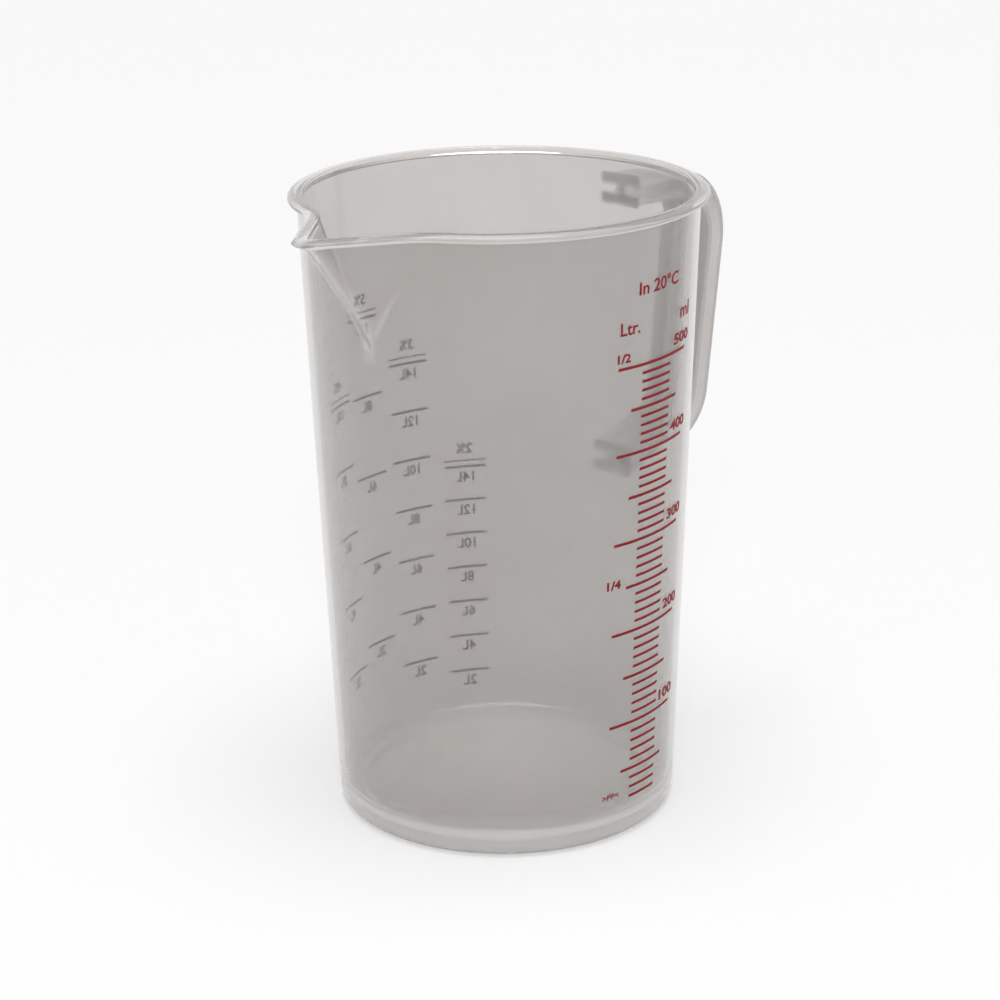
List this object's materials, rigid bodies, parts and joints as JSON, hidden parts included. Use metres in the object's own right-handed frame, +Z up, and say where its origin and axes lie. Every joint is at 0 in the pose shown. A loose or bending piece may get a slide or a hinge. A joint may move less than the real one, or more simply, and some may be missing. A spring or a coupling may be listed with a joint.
{
  "type": "measuring cup",
  "caption": "Tapered translucent plastic measuring cup with a V spout opposite a D handle, and printed scales for measuring liquids and mixing cleaning or dipping baths.",
  "frame": {"origin": "on the table, midway between the tip of the spout and the back of the handle, in the plane that halves the cup", "axes": "+Z up, +X towards the handle, -X towards the spout, -Y towards the millilitre scale, +Y towards the mixing scale"},
  "size_m": [0.1383, 0.091, 0.1408],
  "materials": {
    "polypropylene": "translucent natural polypropylene, satin as moulded",
    "red_ink": "screen-printed red ink",
    "grey_ink": "screen-printed dark grey ink"
  },
  "bodies": {
    "root": {"cup_body": "polypropylene", "handle": "polypropylene", "mix_line_2pct_02l": "grey_ink", "mix_line_2pct_04l": "grey_ink", "mix_line_2pct_06l": "grey_ink", "mix_line_2pct_08l": "grey_ink", "mix_line_2pct_10l": "grey_ink", "mix_line_2pct_12l": "grey_ink", "mix_line_2pct_14l": "grey_ink", "mix_line_3pct_02l": "grey_ink", "mix_line_3pct_04l": "grey_ink", "mix_line_3pct_06l": "grey_ink", "mix_line_3pct_08l": "grey_ink", "mix_line_3pct_10l": "grey_ink", "mix_line_3pct_12l": "grey_ink", "mix_line_3pct_14l": "grey_ink", "mix_line_4pct_02l": "grey_ink", "mix_line_4pct_04l": "grey_ink", "mix_line_4pct_06l": "grey_ink", "mix_line_4pct_08l": "grey_ink", "mix_line_4pct_10l": "grey_ink", "mix_line_5pct_02l": "grey_ink", "mix_line_5pct_04l": "grey_ink", "mix_line_5pct_06l": "grey_ink", "mix_line_5pct_08l": "grey_ink", "mix_line_5pct_10l": "grey_ink", "scale_line_050ml": "red_ink", "scale_line_100ml": "red_ink", "scale_line_150ml": "red_ink", "scale_line_200ml": "red_ink", "scale_line_250ml": "red_ink", "scale_line_300ml": "red_ink", "scale_line_350ml": "red_ink", "scale_line_400ml": "red_ink", "scale_line_450ml": "red_ink", "scale_line_500ml": "red_ink"}
  },
  "joints": []
}
